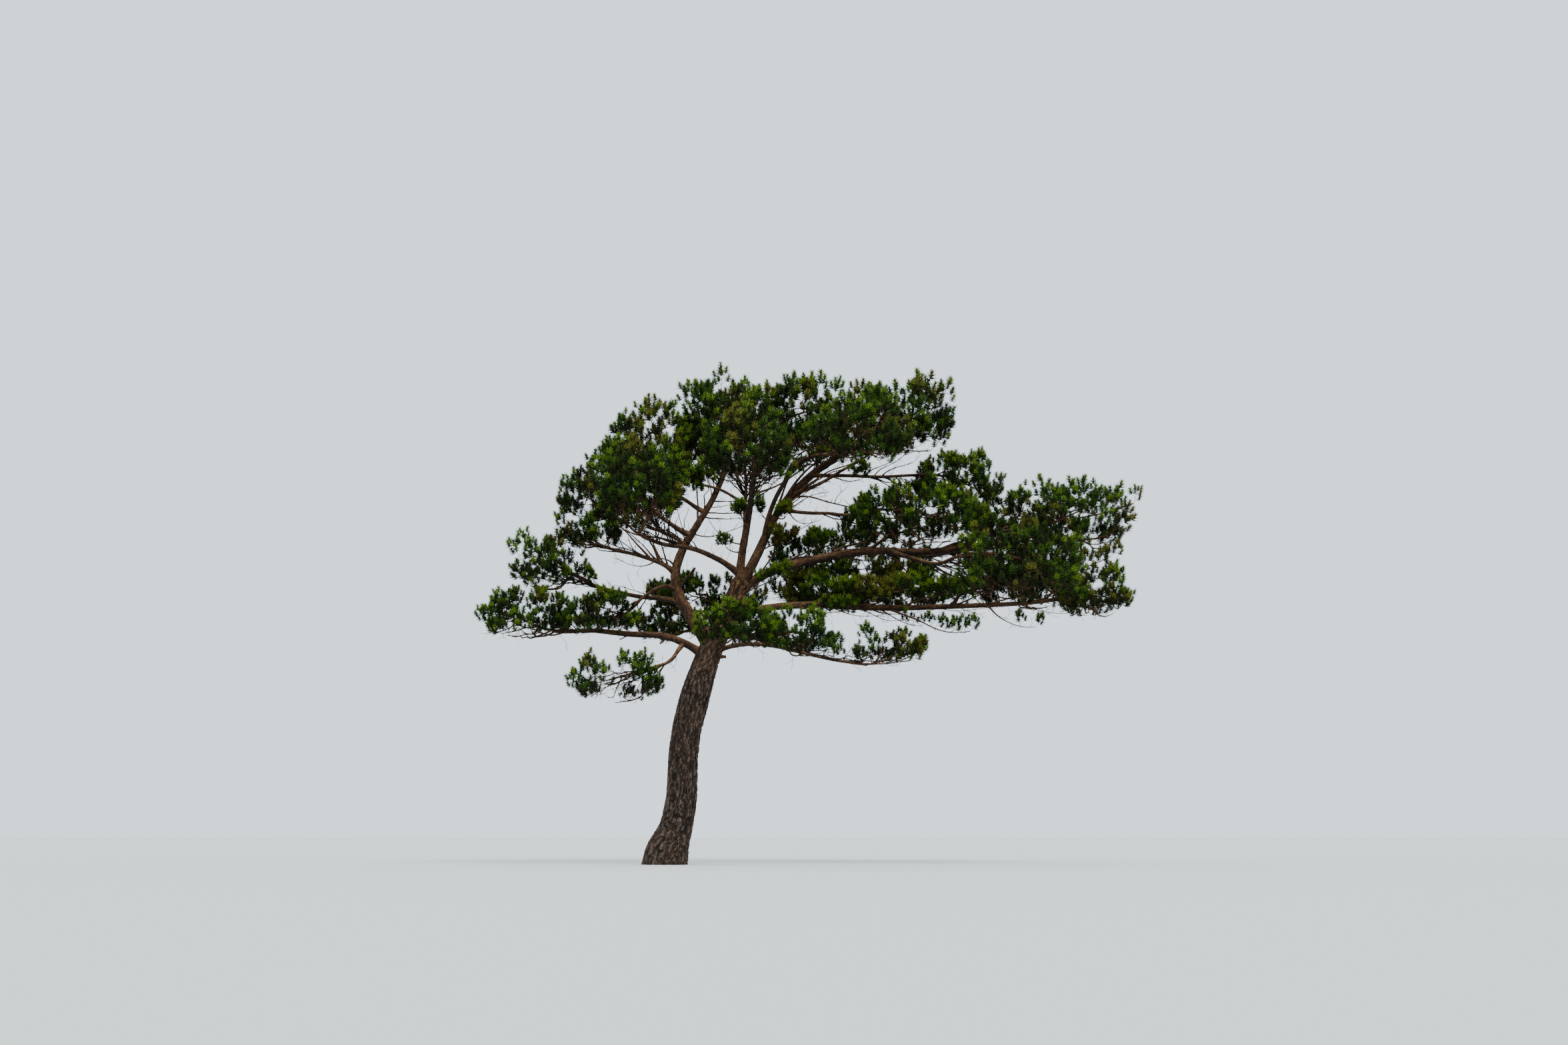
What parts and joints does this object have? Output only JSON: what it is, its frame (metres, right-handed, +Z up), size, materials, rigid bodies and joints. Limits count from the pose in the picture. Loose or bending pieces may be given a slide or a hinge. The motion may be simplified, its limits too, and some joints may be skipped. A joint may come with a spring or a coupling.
{
  "type": "pine tree",
  "caption": "Windswept pine tree with a leaning trunk, forking boughs that sweep to one side, and layered masses of needles with sky between them.",
  "frame": {"origin": "centre of the flat cut where the trunk meets level ground", "axes": "+Z up, +X the way that the crown is swept, -Y towards the viewer of the picture; the flat cut faces -Z"},
  "size_m": [8.0341, 4.0584, 6.0985],
  "materials": {
    "bark": "rough grey-brown plated bark",
    "upper_bark": "flaking orange-brown bark",
    "needles": "satin green needles"
  },
  "bodies": {
    "root": {"trunk": "bark", "bough_leader_left": "upper_bark", "bough_leader_centre": "upper_bark", "bough_leader_right": "upper_bark", "bough_right_main": "upper_bark", "bough_right_long": "upper_bark", "bough_low_right": "upper_bark", "bough_left_low": "upper_bark", "bough_front_right": "upper_bark", "bough_front_centre": "upper_bark", "bough_upper_left_back": "upper_bark", "bough_left_mid": "upper_bark", "bough_left_inner": "upper_bark", "bough_hanging_left": "upper_bark", "bough_upper_left_low": "upper_bark", "bough_upper_left": "upper_bark", "bough_upper_left_top": "upper_bark", "bough_upper_left_front": "upper_bark", "bough_upper_front": "upper_bark", "bough_upper_back": "upper_bark", "bough_upper_front_right": "upper_bark", "bough_upper_back_right": "upper_bark", "bough_right_upper": "upper_bark", "bough_right_middle": "upper_bark", "bough_centre_back_right": "upper_bark", "bough_far_right_front": "upper_bark", "bough_far_right_back": "upper_bark", "bough_low_back_right": "upper_bark", "bough_far_right_low": "upper_bark", "mass_left_low": "needles", "mass_left_mid": "needles", "mass_left_inner": "needles", "mass_hanging_left": "needles", "mass_upper_left_low": "needles", "mass_upper_left": "needles", "mass_upper_left_top": "needles", "mass_upper_left_front": "needles", "mass_upper_left_back": "needles", "mass_leader_left": "needles", "mass_leader_centre": "needles", "mass_leader_right": "needles", "mass_upper_front": "needles", "mass_upper_front_right": "needles", "mass_upper_back": "needles", "mass_upper_back_right": "needles", "mass_right_upper": "needles", "mass_right_middle": "needles", "mass_right_main": "needles", "mass_right_long": "needles", "mass_far_right_low": "needles", "mass_far_right_front": "needles", "mass_far_right_back": "needles", "mass_centre_back_right": "needles", "mass_low_back_right": "needles", "mass_front_right": "needles", "mass_low_right": "needles", "mass_front_centre": "needles", "mass_centre_back": "needles", "mass_low_back": "needles"}
  },
  "joints": []
}
